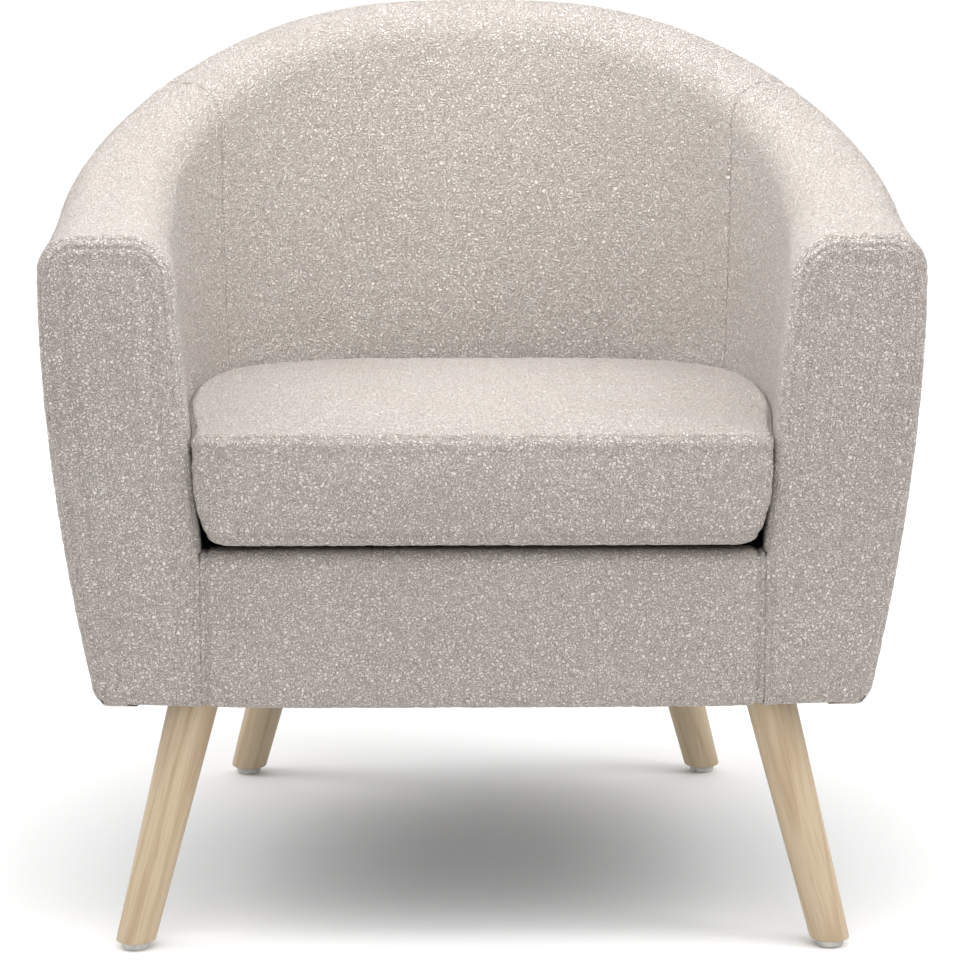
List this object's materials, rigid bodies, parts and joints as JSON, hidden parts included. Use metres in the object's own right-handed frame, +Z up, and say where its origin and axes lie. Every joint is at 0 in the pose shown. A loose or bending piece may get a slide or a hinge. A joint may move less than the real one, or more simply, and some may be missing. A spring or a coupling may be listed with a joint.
{
  "type": "upholstered armchair",
  "caption": "Tub armchair with a curved upholstered back and arms, a loose seat cushion and splayed round wooden legs.",
  "frame": {"origin": "on the floor, at the bottom centre of the chair's bounding box", "axes": "+Z up, the chair faces -Y, +X is the sitter's left and the viewer's right"},
  "size_m": [0.698, 0.6598, 0.712],
  "materials": {
    "boucle": "cream looped-pile boucle, matt",
    "foam": "upholstery foam, open cell",
    "hardboard": "thin hardboard, raw",
    "frame_timber": "raw plywood",
    "leg_wood": "pale hardwood, clear matt lacquer",
    "black_cloth": "black non-woven cloth",
    "steel": "bright zinc",
    "glide": "pale grey plastic",
    "zip_tape": "woven tape"
  },
  "bodies": {
    "base": {"arm_front_cover_left": "boucle", "arm_front_pad_left": "foam", "arm_post_left": "frame_timber", "arm_front_cover_right": "boucle", "arm_front_pad_right": "foam", "arm_post_right": "frame_timber", "outside_arm_cover_left": "boucle", "inside_arm_cover_left": "boucle", "arm_pad_left": "foam", "arm_outer_board_left": "hardboard", "arm_inner_board_left": "hardboard", "outside_arm_cover_right": "boucle", "inside_arm_cover_right": "boucle", "arm_pad_right": "foam", "arm_outer_board_right": "hardboard", "arm_inner_board_right": "hardboard", "outside_back_cover": "boucle", "inside_back_cover": "boucle", "back_pad": "foam", "back_outer_board": "hardboard", "back_inner_board": "hardboard", "arm_top_rail_left": "frame_timber", "arm_top_rail_right": "frame_timber", "back_top_rail": "frame_timber", "side_rail_left": "frame_timber", "side_rail_right": "frame_timber", "rear_rail": "frame_timber", "front_rail": "frame_timber", "back_post_left": "frame_timber", "back_post_right": "frame_timber", "front_rail_cover": "boucle", "front_rail_pad": "foam", "seat_spring_1": "steel", "seat_spring_2": "steel", "seat_spring_3": "steel", "seat_spring_4": "steel", "deck_cloth": "black_cloth", "dust_cover": "black_cloth", "corner_block_front_left": "frame_timber", "leg_front_left": "leg_wood", "leg_screw_front_left": "steel", "glide_front_left": "glide", "corner_block_front_right": "frame_timber", "leg_front_right": "leg_wood", "leg_screw_front_right": "steel", "glide_front_right": "glide", "corner_block_rear_left": "frame_timber", "leg_rear_left": "leg_wood", "leg_screw_rear_left": "steel", "glide_rear_left": "glide", "corner_block_rear_right": "frame_timber", "leg_rear_right": "leg_wood", "leg_screw_rear_right": "steel", "glide_rear_right": "glide"},
    "seat_cushion": {"cushion_cover": "boucle", "cushion_foam": "foam", "zip_tape": "zip_tape"},
    "zip_slider_body": {"zip_slider": "steel"}
  },
  "joints": [
    {"name": "cushion_lift", "type": "slide", "parent": "base", "child": "seat_cushion", "axis": [0, 0, 1], "range_m": [0, 0.45]},
    {"name": "zip_slide", "type": "slide", "parent": "seat_cushion", "child": "zip_slider_body", "axis": [1, 0, 0], "range_m": [0, 0.18]}
  ]
}
